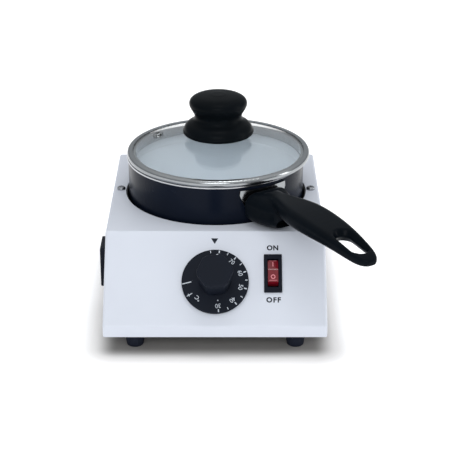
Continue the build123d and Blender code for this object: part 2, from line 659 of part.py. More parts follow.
# ---------------------------------------------------------------- handle_bracket
# Curved steel plate against the pan wall, with a tongue out into the handle.
BR_T = 1.4
with BuildPart() as handle_bracket:
    with BuildSketch(Plane.XY.offset(Z_TOP + 3.2)):
        with Locations((POT_X, POT_Y)):
            Circle(POT_R + 0.1 + BR_T)
            Circle(POT_R + 0.1, mode=Mode.SUBTRACT)
    extrude(amount=24.4)
    with BuildSketch(Plane(origin=handle_pt(90, 15.4), x_dir=(HP.X, HP.Y, 0), z_dir=(HD.X, HD.Y, 0))):
        with BuildLine():
            Polyline((-21.0, 12), (21.0, 12), (21.5, 8), (18.5, 1), (14, -9), (8, -13), (-8, -13), (-14, -9), (-18.5, 1), (-21.5, 8), close=True)
        make_face()
    extrude(amount=-60, mode=Mode.INTERSECT)
    with BuildSketch(Plane(origin=handle_pt(POT_R + 0.4, 14.0), x_dir=(HP.X, HP.Y, 0), z_dir=(HD.X, HD.Y, 0))):
        Rectangle(11, 3.0)
    extrude(amount=30)
    with BuildSketch(Plane(origin=handle_pt(80, 14.0), x_dir=(HP.X, HP.Y, 0), z_dir=(HD.X, HD.Y, 0))):
        with Locations((-9, 0), (9, 0)):
            Circle(2.05)
    extrude(amount=-14, mode=Mode.SUBTRACT)
    with BuildSketch(Plane.XY.offset(Z_TOP + 8)):
        with Locations(handle_pt(92, 0)[:2]):
            Circle(2.1)
    extrude(amount=12, mode=Mode.SUBTRACT)
save(handle_bracket, "handle_bracket")

# ---------------------------------------------------------------- bracket_rivets
with BuildPart() as bracket_rivets:
    rp = Plane(origin=handle_pt(POT_R, 14.0), x_dir=(HP.X, HP.Y, 0), z_dir=(HD.X, HD.Y, 0))
    drop = POT_R - sqrt(POT_R ** 2 - 81)
    with BuildSketch(rp.offset(-drop - 4.6)):
        with Locations((-9, 0), (9, 0)):
            Circle(2.0)
    extrude(amount=7.4)
    with BuildSketch(rp.offset(-drop - 4.6)):
        with Locations((-9, 0), (9, 0)):
            Circle(3.9)
    extrude(amount=1.2)
save(bracket_rivets, "bracket_rivets")

# ---------------------------------------------------------------- pot_handle
# Moulded phenolic handle: a guard round the root, a narrow neck and a wide, slightly drooping paddle.
HANDLE = [  # r, z of the middle, half width, half thickness, rise in degrees
    (84.0, 20.4, 9.8, 6.3, 12), (98.0, 22.4, 9.4, 6.3, 6), (112.0, 23.2, 12.8, 6.4, 2), (133.0, 23.4, 16.2, 6.8, 0),
    (157.0, 23.0, 15.7, 6.1, -2), (180.0, 21.4, 13.4, 5.1, -7), (200.0, 18.6, 10.4, 4.5, -9),
    (208.5, 17.5, 7.8, 3.8, -8), (213.8, 17.0, 3.6, 2.2, -6)]
GUARD = [(75.6, 14.2, 20.2, 11.8), (82.0, 13.8, 18.8, 12.0), (91.0, 13.6, 16.4, 11.6), (99.0, 13.8, 13.6, 11.2), (104.5, 14.8, 10.6, 10.2)]
# Hanging slot: narrowest at mid-thickness, its rims dished towards both faces.
SLOPE_S = radians(-7.5)
slot_mid = Plane(origin=handle_pt(188, 20.4), x_dir=(HD.X * cos(SLOPE_S), HD.Y * cos(SLOPE_S), sin(SLOPE_S)),
                 z_dir=(-HD.X * sin(SLOPE_S), -HD.Y * sin(SLOPE_S), cos(SLOPE_S)))
with BuildPart() as slot_cutter:
    for way in (1, -1):
        with BuildSketch(slot_mid):
            SlotOverall(29, 11.2)
        with BuildSketch(slot_mid.offset(8.0 * way)):
            SlotOverall(29 + 2 * 5.2, 11.2 + 2 * 5.2)
        loft()
with BuildPart() as pot_handle:
    for r, z, a, b, s in HANDLE:
        with BuildSketch(handle_plane(r, z, s)):
            RectangleRounded(2 * a, 2 * b, b * 0.86)
    loft()
    for r, z, a, b in GUARD:
        with BuildSketch(handle_plane(r, z, 0)):
            RectangleRounded(2 * a, 2 * b, min(a, b) * 0.82)
    loft()
    # clear of the curved bracket plate and the pan
    with BuildSketch(Plane.XY.offset(Z_TOP - 5)):
        with Locations((POT_X, POT_Y)):
            Circle(POT_R + 0.1 + BR_T + 0.3)
    extrude(amount=45, mode=Mode.SUBTRACT)
    # hanging slot
    add(slot_cutter.part, mode=Mode.SUBTRACT)
    # finger recess in the outer end of the guard
    with BuildSketch(handle_plane(105.5, 7.4, 0)):
        with Locations((-1.5, 0)):
            RectangleRounded(13.6, 6.0, 2.6)
    extrude(amount=-9.0, mode=Mode.SUBTRACT)
    # pocket for the bracket tongue, rivet heads and the handle screw
    with BuildSketch(Plane(origin=handle_pt(POT_R, 14.0), x_dir=(HP.X, HP.Y, 0), z_dir=(HD.X, HD.Y, 0))):
        Rectangle(11.3, 3.3)
    extrude(amount=31.0, mode=Mode.SUBTRACT)
    with BuildSketch(Plane(origin=handle_pt(POT_R, 14.0), x_dir=(HP.X, HP.Y, 0), z_dir=(HD.X, HD.Y, 0))):
        with Locations((-9, 0), (9, 0)):
            Circle(2.6)
    extrude(amount=4.5, mode=Mode.SUBTRACT)
    with BuildSketch(Plane.XY.offset(Z_TOP - 2)):
        with Locations(handle_pt(92, 0)[:2]):
            Circle(2.1)
    extrude(amount=21, mode=Mode.SUBTRACT)
    with BuildSketch(Plane.XY.offset(Z_TOP - 2)):
        with Locations(handle_pt(92, 0)[:2]):
            Circle(4.0)
    extrude(amount=8.0, mode=Mode.SUBTRACT)
save(pot_handle, "pot_handle")

# ---------------------------------------------------------------- handle_screw (up through the tongue)
with BuildPart() as handle_screw:
    with BuildSketch(Plane.XY.offset(Z_TOP + 3.6)):
        with Locations(handle_pt(92, 0)[:2]):
            Circle(3.7)
    extrude(amount=2.4)
    with BuildSketch(Plane.XY.offset(Z_TOP + 6.0)):
        with Locations(handle_pt(92, 0)[:2]):
            Circle(2.0)
    extrude(amount=12.5)
    with BuildSketch(Plane.XY.offset(Z_TOP + 3.6)):
        with Locations(handle_pt(92, 0)[:2]):
            Rectangle(4.4, 0.9)
            Rectangle(0.9, 4.4)
    extrude(amount=1.2, mode=Mode.SUBTRACT)
save(handle_screw, "handle_screw")

# ================================================================ lid (lifts off)
ZR = Z_TOP
SEAT = POT_RIM - Z_TOP + 0.15      # the rim ring stands on the pan's rim
with BuildPart() as lid_rim:
    with BuildSketch(LID_SECTION):
        with BuildLine():
            Polyline((70.6, ZR + 36.2), (70.6, ZR + 36.7), (71.1, ZR + 37.0), (73.2, ZR + 36.8))
            ThreePointArc((73.2, ZR + 36.8), (74.7, ZR + 35.9), (LID_R, ZR + 34.3))
            ThreePointArc((LID_R, ZR + 34.3), (75.1, ZR + 32.6), (74.0, ZR + SEAT))
            Polyline((74.0, ZR + SEAT), (68.2, ZR + SEAT), (68.2, ZR + 26.2), (67.5, ZR + 26.2), (67.5, ZR + 33.0),
                     (73.4, ZR + 33.0), (73.4, ZR + 36.2), (70.6, ZR + 36.2))
        make_face()
    revolve(axis=LID_AXIS)
save(lid_rim, "lid_rim")

GLASS_TOP = 47.6
GLASS_T = 3.4
R_OUT = (70.6 ** 2 + (GLASS_TOP - 36.2) ** 2) / (2 * (GLASS_TOP - 36.2))
R_IN = (69.9 ** 2 + (GLASS_TOP - GLASS_T - 33.0) ** 2) / (2 * (GLASS_TOP - GLASS_T - 33.0))


def dome(r):
    """Height of the glass's top face at radius r."""
    return Z_TOP + GLASS_TOP - (R_OUT - sqrt(R_OUT ** 2 - r ** 2))


def dome_in(r):
    return Z_TOP + GLASS_TOP - GLASS_T - (R_IN - sqrt(R_IN ** 2 - r ** 2))


VENT_X, VENT_Y = -50.8, 21.5
VR = sqrt(VENT_X ** 2 + VENT_Y ** 2)
# plane square to the dome where the vent goes through it
VENT_PLANE = Plane(origin=(LID_X + VENT_X, POT_Y + VENT_Y, dome(VR)), x_dir=(-VENT_Y, VENT_X, 0),
                   z_dir=(VENT_X / R_OUT, VENT_Y / R_OUT, sqrt(1 - (VR / R_OUT) ** 2)))
with BuildPart() as glass_lid:
    with BuildSketch(LID_SECTION):
        with BuildLine():
            Polyline((69.9, ZR + 33.0), (73.4, ZR + 33.0), (73.4, ZR + 36.2), (70.6, ZR + 36.2))
            ThreePointArc((70.6, ZR + 36.2), (36.0, dome(36.0)), (0, ZR + GLASS_TOP))
            Line((0, ZR + GLASS_TOP), (0, ZR + GLASS_TOP - GLASS_T))
            ThreePointArc((0, ZR + GLASS_TOP - GLASS_T), (35.6, dome_in(35.6)), (69.9, ZR + 33.0))
        make_face()
    revolve(axis=LID_AXIS)
    with BuildSketch(Plane.XY.offset(Z_TOP + 55)):
        with Locations((LID_X, POT_Y)):
            Circle(3.2)
    extrude(amount=-30, mode=Mode.SUBTRACT)
    with BuildSketch(VENT_PLANE.offset(6)):
        Circle(3.0)
    extrude(amount=-16, mode=Mode.SUBTRACT)
save(glass_lid, "glass_lid")

# ---------------------------------------------------------------- lid_knob
with BuildPart() as lid_knob:
    with BuildSketch(LID_SECTION):
        with BuildLine():
            Polyline((0, ZR + 83.8), (0, ZR + 66), (2.05, ZR + 66), (2.05, ZR + 48.6), (13.0, ZR + 48.6), (13.0, ZR + 53.0),
                     (24.0, ZR + 53.0), (26.6, ZR + 50.5), (28.0, ZR + 50.5))
            ThreePointArc((28.0, ZR + 50.5), (29.1, ZR + 51.9), (28.4, ZR + 54.0))
            Spline((28.4, ZR + 54.0), (24.2, ZR + 59.6), (20.2, ZR + 62.6), (19.4, ZR + 65.4), (20.6, ZR + 69.0), (22.9, ZR + 73.0),
                   (23.7, ZR + 75.9), (22.9, ZR + 78.7), (19.6, ZR + 81.3), (13.0, ZR + 83.0), (6.5, ZR + 83.6), (0, ZR + 83.8),
                   tangents=[(-0.25, 0.97), (-1, 0)])
        make_face()
    revolve(axis=LID_AXIS)
save(lid_knob, "lid_knob")

# ---------------------------------------------------------------- knob seals, washer and screw
with BuildPart() as knob_seal:
    with BuildSketch(LID_SECTION):
        with BuildLine():
            Polyline((3.3, dome(3.3)), (3.3, ZR + 48.6), (12.6, ZR + 48.6), (12.6, dome(12.6)))
            ThreePointArc((12.6, dome(12.6)), (8.0, dome(8.0)), (3.3, dome(3.3)))
        make_face()
    revolve(axis=LID_AXIS)
save(knob_seal, "knob_seal")

with BuildPart() as knob_washer:
    with BuildSketch(LID_SECTION):
        with BuildLine():
            Polyline((2.1, dome_in(2.1)), (2.1, ZR + 43.2), (9.0, ZR + 43.2), (9.0, dome_in(9.0)))
            ThreePointArc((9.0, dome_in(9.0)), (5.5, dome_in(5.5)), (2.1, dome_in(2.1)))
        make_face()
    revolve(axis=LID_AXIS)
save(knob_washer, "knob_washer")

with BuildPart() as knob_screw:
    with BuildSketch(LID_SECTION):
        with BuildLine():
            Polyline((0, ZR + 40.9), (3.2, ZR + 40.9), (4.2, ZR + 41.9), (4.2, ZR + 43.2), (2.0, ZR + 43.2), (2.0, ZR + 60.0),
                     (0, ZR + 60.0), close=True)
        make_face()
    revolve(axis=LID_AXIS)
    with BuildSketch(Plane.XY.offset(Z_TOP + 40.9)):
        with Locations((LID_X, POT_Y)):
            Rectangle(4.8, 1.0)
            Rectangle(1.0, 4.8)
    extrude(amount=1.1, mode=Mode.SUBTRACT)
save(knob_screw, "knob_screw")

# ---------------------------------------------------------------- steam_vent
# Rolled eyelet through the glass, square to the dome at that point.
with BuildPart() as steam_vent:
    with BuildSketch(VENT_PLANE.offset(0.1)):
        Circle(4.6)
    extrude(amount=1.2)
    fillet(steam_vent.edges().group_by(Axis.Z)[-1], 0.7)
    with BuildSketch(VENT_PLANE.offset(0.2)):
        Circle(2.9)
    extrude(amount=-4.0)
    with BuildSketch(VENT_PLANE.offset(-3.6)):
        Circle(4.0)
    extrude(amount=-0.8)
    with BuildSketch(VENT_PLANE.offset(3)):
        Circle(1.9)
    extrude(amount=-10, mode=Mode.SUBTRACT)
save(steam_vent, "steam_vent")

lo = [min(b[0].X for b in BOXES), min(b[0].Y for b in BOXES), min(b[0].Z for b in BOXES)]
hi = [max(b[1].X for b in BOXES), max(b[1].Y for b in BOXES), max(b[1].Z for b in BOXES)]
print("box", [round(v, 2) for v in lo], [round(v, 2) for v in hi])
print("centre", [round((a + b) / 2, 3) for a, b in zip(lo, hi)])
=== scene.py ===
import json
import math

import bmesh
import bpy
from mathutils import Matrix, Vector


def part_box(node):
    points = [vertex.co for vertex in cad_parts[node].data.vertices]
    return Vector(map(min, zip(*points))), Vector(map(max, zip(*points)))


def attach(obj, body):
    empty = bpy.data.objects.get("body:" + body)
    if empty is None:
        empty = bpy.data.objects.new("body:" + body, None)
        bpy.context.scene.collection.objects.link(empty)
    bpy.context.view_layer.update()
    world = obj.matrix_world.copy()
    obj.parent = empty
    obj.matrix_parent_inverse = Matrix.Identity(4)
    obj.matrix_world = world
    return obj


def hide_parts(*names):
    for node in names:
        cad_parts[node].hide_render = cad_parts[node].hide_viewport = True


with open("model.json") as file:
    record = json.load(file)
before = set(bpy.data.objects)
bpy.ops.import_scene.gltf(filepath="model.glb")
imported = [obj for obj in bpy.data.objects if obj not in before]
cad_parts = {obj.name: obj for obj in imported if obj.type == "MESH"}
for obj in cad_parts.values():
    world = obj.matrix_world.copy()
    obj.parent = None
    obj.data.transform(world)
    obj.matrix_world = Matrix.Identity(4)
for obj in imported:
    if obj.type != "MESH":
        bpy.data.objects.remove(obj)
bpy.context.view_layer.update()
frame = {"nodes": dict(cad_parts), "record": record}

# ------------------------------------------------------------------ dimensions, metres, from the CAD's own boxes
MM = 0.001
SHELL_LO, SHELL_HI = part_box("housing_shell")
POT_X = (SHELL_LO.x + SHELL_HI.x) / 2
TOP_D = 169.0 * MM
TOP_Y = SHELL_HI.y - TOP_D / 2
POT_Y = TOP_Y + 2.0 * MM
Z_TOP = SHELL_HI.z
Y_FOLD = TOP_Y - TOP_D / 2
SLOPE_A = math.atan2(55.2, 54.9)
CA, SA = math.cos(SLOPE_A), math.sin(SLOPE_A)
DIAL_V = 42.4
SW_U, SW_V = 44.7, 35.2
PIV_D = -8.0
HANDLE_AZ = math.radians(32.0)
HD = Vector((math.sin(HANDLE_AZ), -math.cos(HANDLE_AZ), 0))
HP = Vector((math.cos(HANDLE_AZ), math.sin(HANDLE_AZ), 0))


def panel_pt(u, v, d=0.0):
    """u across, v down the control panel from its top fold, d outwards, all in mm."""
    return Vector((POT_X + u * MM, Y_FOLD - v * MM * CA - d * MM * SA, Z_TOP - v * MM * SA + d * MM * CA))


PANEL_N = Vector((0, -SA, CA))
PANEL_UP = Vector((0, CA, SA))


def handle_pt(r, z, off=0.0):
    p = HD * (r * MM) + HP * (off * MM)
    return Vector((POT_X + p.x, POT_Y + p.y, Z_TOP + z * MM))


# ------------------------------------------------------------------ camera first
cam_data = bpy.data.cameras.new("camera")
cam_data.lens = 113.45
cam_data.sensor_width = 36.0
cam_data.clip_start = 0.05
cam_data.clip_end = 50
cam = bpy.data.objects.new("camera", cam_data)
cam.location = (POT_X + 8.387 * MM, TOP_Y - 1101.694 * MM, Z_TOP + 454.446 * MM)
cam.rotation_euler = (math.radians(90 - 23.868), 0, 0)
bpy.context.collection.objects.link(cam)
bpy.context.scene.camera = cam

# ------------------------------------------------------------------ stage: floor, world, lights
FLOOR_GLOW = 0.42
SKY = 1.0


def new_obj(name, mesh):
    ob = bpy.data.objects.new(name, mesh)
    bpy.context.collection.objects.link(ob)
    return ob


def mat_new(name):
    m = bpy.data.materials.new(name)
    m.use_nodes = True
    nt = m.node_tree
    bs = nt.nodes["Principled BSDF"]
    return m, nt, bs


def node(nt, kind, **kw):
    n = nt.nodes.new(kind)
    for k, v in kw.items():
        if k in n.inputs:
            n.inputs[k].default_value = v
        else:
            setattr(n, k, v)
    return n


def ramp(nt, stops, interp="LINEAR"):
    r = nt.nodes.new("ShaderNodeValToRGB")
    r.color_ramp.interpolation = interp
    while len(r.color_ramp.elements) < len(stops):
        r.color_ramp.elements.new(0.5)
    for e, (p, c) in zip(r.color_ramp.elements, stops):
        e.position = p
        e.color = c if len(c) == 4 else (*c, 1)
    return r


def srgb(r, g, b):
    def f(c):
        c /= 255.0
        return c / 12.92 if c <= 0.04045 else ((c + 0.055) / 1.055) ** 2.4
    return (f(r), f(g), f(b), 1.0)


fm = bpy.data.meshes.new("floor")
fm.from_pydata([(-6, -4, 0), (6, -4, 0), (6, 8, 0), (-6, 8, 0)], [], [(0, 1, 2, 3)])
floor = new_obj("floor", fm)
m, nt, bs = mat_new("floor_paper")
bs.inputs["Base Color"].default_value = (0.93, 0.93, 0.935, 1)
bs.inputs["Roughness"].default_value = 0.75
bs.inputs["Specular IOR Level"].default_value = 0.1
bs.inputs["Emission Color"].default_value = (1.0, 1.0, 1.0, 1)
# the floor glows evenly away from the object; painted shadow: the glow fades to none close to the object
tc = node(nt, "ShaderNodeTexCoord")
cen = node(nt, "ShaderNodeVectorMath", operation="SUBTRACT")
cen.inputs[1].default_value = (POT_X, (SHELL_LO.y + SHELL_HI.y) / 2, 0)
nt.links.new(tc.outputs["Object"], cen.inputs[0])
ab = node(nt, "ShaderNodeVectorMath", operation="ABSOLUTE")
nt.links.new(cen.outputs[0], ab.inputs[0])
sub = node(nt, "ShaderNodeVectorMath", operation="SUBTRACT")
sub.inputs[1].default_value = ((SHELL_HI.x - SHELL_LO.x) / 2 - 0.01, (SHELL_HI.y - SHELL_LO.y) / 2 - 0.01, 1)
nt.links.new(ab.outputs[0], sub.inputs[0])
mx = node(nt, "ShaderNodeVectorMath", operation="MAXIMUM")
mx.inputs[1].default_value = (0, 0, 0)
nt.links.new(sub.outputs[0], mx.inputs[0])
ln = node(nt, "ShaderNodeVectorMath", operation="LENGTH")
nt.links.new(mx.outputs[0], ln.inputs[0])
glow_and_painted_shadow = node(nt, "ShaderNodeMapRange", interpolation_type="SMOOTHSTEP")
glow_and_painted_shadow.inputs["From Min"].default_value = 0.0
glow_and_painted_shadow.inputs["From Max"].default_value = 0.047
glow_and_painted_shadow.inputs["To Min"].default_value = 0.0
glow_and_painted_shadow.inputs["To Max"].default_value = FLOOR_GLOW
nt.links.new(ln.outputs["Value"], glow_and_painted_shadow.inputs["Value"])
nt.links.new(glow_and_painted_shadow.outputs["Result"], bs.inputs["Emission Strength"])
# painted contact shadow: the floor's colour darkens towards the object's footprint
painted_shadow_colour = ramp(nt, [(0.0, (0.30, 0.29, 0.28)), (0.55, (0.80, 0.79, 0.785)), (1.0, (0.93, 0.93, 0.935))], "EASE")
painted_shadow_fade = node(nt, "ShaderNodeMapRange")
painted_shadow_fade.inputs["From Min"].default_value = 0.0
painted_shadow_fade.inputs["From Max"].default_value = 0.033
nt.links.new(ln.outputs["Value"], painted_shadow_fade.inputs["Value"])
nt.links.new(painted_shadow_fade.outputs["Result"], painted_shadow_colour.inputs["Fac"])
nt.links.new(painted_shadow_colour.outputs["Color"], bs.inputs["Base Color"])
fm.materials.append(m)

world = bpy.data.worlds.new("studio")
bpy.context.scene.world = world
world.use_nodes = True
wn = world.node_tree
bg = wn.nodes["Background"]
wtc = wn.nodes.new("ShaderNodeTexCoord")
wsep = wn.nodes.new("ShaderNodeSeparateXYZ")
wn.links.new(wtc.outputs["Generated"], wsep.inputs["Vector"])
wr = wn.nodes.new("ShaderNodeValToRGB")
for e, (p, c) in zip([wr.color_ramp.elements[0], wr.color_ramp.elements[1], wr.color_ramp.elements.new(0.35)],
                     [(0.0, (0.36, 0.375, 0.39, 1)), (1.0, (0.80, 0.83, 0.87, 1)), (0.35, (0.46, 0.48, 0.505, 1))]):
    e.position = p
    e.color = c
wn.links.new(wsep.outputs["Z"], wr.inputs["Fac"])
wn.links.new(wr.outputs["Color"], bg.inputs["Color"])
bg.inputs["Strength"].default_value = SKY
bg2 = wn.nodes.new("ShaderNodeBackground")
bg2.inputs["Color"].default_value = (1, 1, 1, 1)
bg2.inputs["Strength"].default_value = 1.0
wmix = wn.nodes.new("ShaderNodeMixShader")
wlp = wn.nodes.new("ShaderNodeLightPath")
wn.links.new(wlp.outputs["Is Camera Ray"], wmix.inputs["Fac"])
wn.links.new(bg.outputs["Background"], wmix.inputs[1])
wn.links.new(bg2.outputs["Background"], wmix.inputs[2])
wn.links.new(wmix.outputs["Shader"], wn.nodes["World Output"].inputs["Surface"])


def area(name, loc, target, size, power, color=(1, 1, 1), size_y=None):
    ld = bpy.data.lights.new(name, "AREA")
    ld.energy = power
    ld.color = color
    ld.shape = "RECTANGLE"
    ld.size = size
    ld.size_y = size_y or size
    ob = bpy.data.objects.new(name, ld)
    ob.location = loc
    d = Vector(target) - Vector(loc)
    ob.rotation_euler = d.to_track_quat("-Z", "Y").to_euler()
    bpy.context.collection.objects.link(ob)
    return ob


area("front_softbox", (-0.10, -1.60, 1.00), (0, 0, 0.06), 0.9, 9.3, (0.98, 0.99, 1.0), 0.6)
area("overhead_strip", (0.05, -0.05, 1.45), (0.05, -0.03, 0.1), 0.5, 2.2, (1.0, 1.0, 1.0), 0.16)
area("right_strip", (1.2, 0.0, 0.40), (0, 0, 0.1), 0.2, 2.6, (1, 1, 1), 0.8)

vs = bpy.context.scene.view_settings
vs.view_transform = "Standard"
vs.look = "None"
vs.exposure = 0.0
vs.gamma = 1.0

# ------------------------------------------------------------------ materials
MAT = {}


def noise_bump(nt, bs, scale, strength, distance, detail=2.0, coord="Object"):
    tc = node(nt, "ShaderNodeTexCoord")
    nz = node(nt, "ShaderNodeTexNoise")
    nz.inputs["Scale"].default_value = scale
    nz.inputs["Detail"].default_value = detail
    bp = node(nt, "ShaderNodeBump")
    bp.inputs["Strength"].default_value = strength
    bp.inputs["Distance"].default_value = distance
    nt.links.new(tc.outputs[coord], nz.inputs["Vector"])
    nt.links.new(nz.outputs["Fac"], bp.inputs["Height"])
    nt.links.new(bp.outputs["Normal"], bs.inputs["Normal"])
    return tc, nz, bp


def simple(name, color, rough, metallic=0.0, spec=0.5, coat=0.0, coat_rough=0.1, bump=None, vary=0.06, vary_scale=60, rough_vary=0.05):
    """A base colour with slight mottling, a roughness that varies a little, and a fine bump."""
    m, nt, bs = mat_new(name)
    c = tuple(color[:3])
    tc = node(nt, "ShaderNodeTexCoord")
    nz = node(nt, "ShaderNodeTexNoise")
    nz.inputs["Scale"].default_value = vary_scale
    nz.inputs["Detail"].default_value = 4.0
    nt.links.new(tc.outputs["Object"], nz.inputs["Vector"])
    lo = tuple(x * (1 - vary) for x in c)
    hi = tuple(min(1, x * (1 + vary)) for x in c)
    r = ramp(nt, [(0.3, lo), (0.7, hi)])
    nt.links.new(nz.outputs["Fac"], r.inputs["Fac"])
    nt.links.new(r.outputs["Color"], bs.inputs["Base Color"])
    rr = node(nt, "ShaderNodeMapRange")
    rr.inputs["To Min"].default_value = max(0.02, rough - rough_vary)
    rr.inputs["To Max"].default_value = min(1.0, rough + rough_vary)
    nt.links.new(nz.outputs["Fac"], rr.inputs["Value"])
    nt.links.new(rr.outputs["Result"], bs.inputs["Roughness"])
    bs.inputs["Metallic"].default_value = metallic
    bs.inputs["Specular IOR Level"].default_value = spec
    bs.inputs["Coat Weight"].default_value = coat
    bs.inputs["Coat Roughness"].default_value = coat_rough
    if bump:
        scale, strength, dist = bump
        n2 = node(nt, "ShaderNodeTexNoise")
        n2.inputs["Scale"].default_value = scale
        n2.inputs["Detail"].default_value = 3.0
        bp = node(nt, "ShaderNodeBump")
        bp.inputs["Strength"].default_value = strength
        bp.inputs["Distance"].default_value = dist
        nt.links.new(tc.outputs["Object"], n2.inputs["Vector"])
        nt.links.new(n2.outputs["Fac"], bp.inputs["Height"])
        nt.links.new(bp.outputs["Normal"], bs.inputs["Normal"])
    MAT[name] = m
    return m, nt, bs


simple("white_powder_coat", srgb(209, 214, 224), 0.44, spec=0.30, coat=0.14, coat_rough=0.18, bump=(1500, 0.08, 0.0002), vary=0.012, vary_scale=25)
simple("galvanised_plate", (0.56, 0.57, 0.58), 0.35, metallic=1.0, bump=(400, 0.1, 0.0001), vary=0.12, vary_scale=140)
simple("well_black", srgb(24, 26, 30), 0.5, spec=0.3, bump=(900, 0.15, 0.0001))
simple("phenolic_black", (0.0030, 0.0044, 0.0058), 0.34, spec=0.03, bump=(700, 0.05, 0.0001), vary=0.15)
simple("phenolic_handle", (0.0030, 0.0048, 0.0072), 0.30, spec=0.03, bump=(900, 0.08, 0.0001), vary=0.15)
simple("polished_steel", (0.31, 0.325, 0.335), 0.20, metallic=1.0, bump=(300, 0.02, 0.0001), vary=0.04, rough_vary=0.03)
simple("bright_steel", (0.30, 0.31, 0.33), 0.32, metallic=1.0, bump=(600, 0.05, 0.0001), vary=0.05)
simple("blued_steel", (0.05, 0.05, 0.055), 0.35, metallic=1.0, bump=(600, 0.05, 0.0001), vary=0.1)
simple("dial_black", (0.0046, 0.0072, 0.0140), 0.5, spec=0.12, bump=(1300, 0.10, 0.0001), vary=0.08)
simple("bezel_black", (0.0050, 0.0068, 0.0130), 0.45, spec=0.10, bump=(1300, 0.10, 0.0001), vary=0.08)
simple("foot_rubber", (0.0120, 0.0160, 0.0290), 0.62, spec=0.2, bump=(900, 0.12, 0.0002), vary=0.1)
simple("silicone_seal", srgb(60, 64, 68), 0.5, spec=0.3)
simple("brass_contacts", (0.78, 0.6, 0.3), 0.25, metallic=1.0)
simple("copper_tube", (0.85, 0.45, 0.3), 0.3, metallic=1.0)
simple("mica", (0.55, 0.48, 0.36), 0.5, vary=0.3, vary_scale=200)
simple("ceramic_fibre", (0.85, 0.83, 0.78), 0.95, spec=0.1, bump=(500, 0.6, 0.0005))
simple("thermostat_case", (0.05, 0.05, 0.055), 0.5)
simple("cutout_case", (0.75, 0.75, 0.76), 0.3, metallic=1.0)
simple("lead_brown", (0.18, 0.07, 0.03), 0.5)
simple("lead_blue", (0.03, 0.1, 0.4), 0.5)
simple("lead_black", (0.02, 0.02, 0.02), 0.5)
simple("lead_green", (0.06, 0.3, 0.05), 0.5)
simple("print_white", srgb(196, 203, 212), 0.6, spec=0.2, vary=0.02)
simple("print_grey", srgb(28, 32, 43), 0.6, spec=0.2, vary=0.04)
simple("rocker_red", (0.155, 0.004, 0.011), 0.16, spec=0.28, coat=0.45, coat_rough=0.08, bump=(300, 0.03, 0.0001))
simple("rocker_mark", srgb(226, 140, 148), 0.4, spec=0.3, vary=0.02)
simple("lamp_glass", (1.0, 0.45, 0.25), 0.1)
simple("pan_black", (0.0048, 0.0076, 0.0155), 0.26, spec=0.06, bump=(1100, 0.08, 0.0001), vary=0.06)
simple("pan_ceramic", srgb(216, 223, 231), 0.34, spec=0.45, bump=(160, 0.03, 0.0003), vary=0.02, vary_scale=30)
simple("pan_rim", (0.52, 0.53, 0.55), 0.2, metallic=1.0, bump=(600, 0.05, 0.0001), vary=0.05)

# clear glass; light from the lamps goes through it
m, nt, bs = mat_new("lid_glass")
bs.inputs["Base Color"].default_value = (0.95, 0.975, 0.975, 1)
bs.inputs["Roughness"].default_value = 0.02
bs.inputs["IOR"].default_value = 1.48
bs.inputs["Transmission Weight"].default_value = 1.0
noise_bump(nt, bs, 14, 0.03, 0.0003, 1.0)
tr = node(nt, "ShaderNodeBsdfTransparent")
tr.inputs["Color"].default_value = (0.95, 0.97, 0.97, 1)
lp = node(nt, "ShaderNodeLightPath")
mxs = node(nt, "ShaderNodeMixShader")
nt.links.new(lp.outputs["Is Shadow Ray"], mxs.inputs["Fac"])
nt.links.new(bs.outputs["BSDF"], mxs.inputs[1])
nt.links.new(tr.outputs["BSDF"], mxs.inputs[2])
nt.links.new(mxs.outputs["Shader"], nt.nodes["Material Output"].inputs["Surface"])
MAT["lid_glass"] = m

MAT["pan_nonstick"] = MAT["pan_black"]

slot_of = {s["node"]: s["material_slot"] for s in frame["record"]["subparts"]}
for name, ob in frame["nodes"].items():
    m = MAT[slot_of[name]]
    if not ob.material_slots:
        ob.data.materials.append(m)
    else:
        for s in ob.material_slots:
            s.material = m

# ------------------------------------------------------------------ pan: black outside, pale ceramic inside, bare rim
POT_R, WALL = 72.5, 2.0
PB, PR = -30.0, 31.2      # base and rim, mm above the console top


def arc_pts(c, r, a0, a1, n):
    return [(c[0] + r * math.cos(math.radians(a0 + (a1 - a0) * i / n)), c[1] + r * math.sin(math.radians(a0 + (a1 - a0) * i / n))) for i in range(n + 1)]


def lathe(name, pts, mats, mat_of, cx, cy, segs=256):
    """Revolves a closed profile of (r, z) in mm about the vertical through cx, cy; a point at r 0 is on the axis."""
    bm = bmesh.new()
    rings = []
    for r, z in pts:
        zz = Z_TOP + z * MM
        if r < 1e-6:
            rings.append([bm.verts.new((cx, cy, zz))])
        else:
            rings.append([bm.verts.new((cx + r * MM * math.cos(2 * math.pi * k / segs), cy + r * MM * math.sin(2 * math.pi * k / segs), zz)) for k in range(segs)])
    n = len(pts)
    last = n if pts[0][0] > 1e-6 else n - 1
    for i in range(last):
        a, b = rings[i], rings[(i + 1) % n]
        for k in range(segs):
            k2 = (k + 1) % segs
            if len(a) == 1:
                f = bm.faces.new((a[0], b[k2], b[k]))
            elif len(b) == 1:
                f = bm.faces.new((a[k], a[k2], b[0]))
            else:
                f = bm.faces.new((a[k], a[k2], b[k2], b[k]))
            f.smooth = True
            f.material_index = mat_of(i, pts[i], pts[(i + 1) % n])
    bmesh.ops.recalc_face_normals(bm, faces=bm.faces)
    me = bpy.data.meshes.new(name)
    bm.to_mesh(me)
    bm.free()
    for mt in mats:
        me.materials.append(MAT[mt])
    return new_obj(name, me)


def sharp_by_angle(ob, deg=32):
    ob.data.set_sharp_from_angle(angle=math.radians(deg))


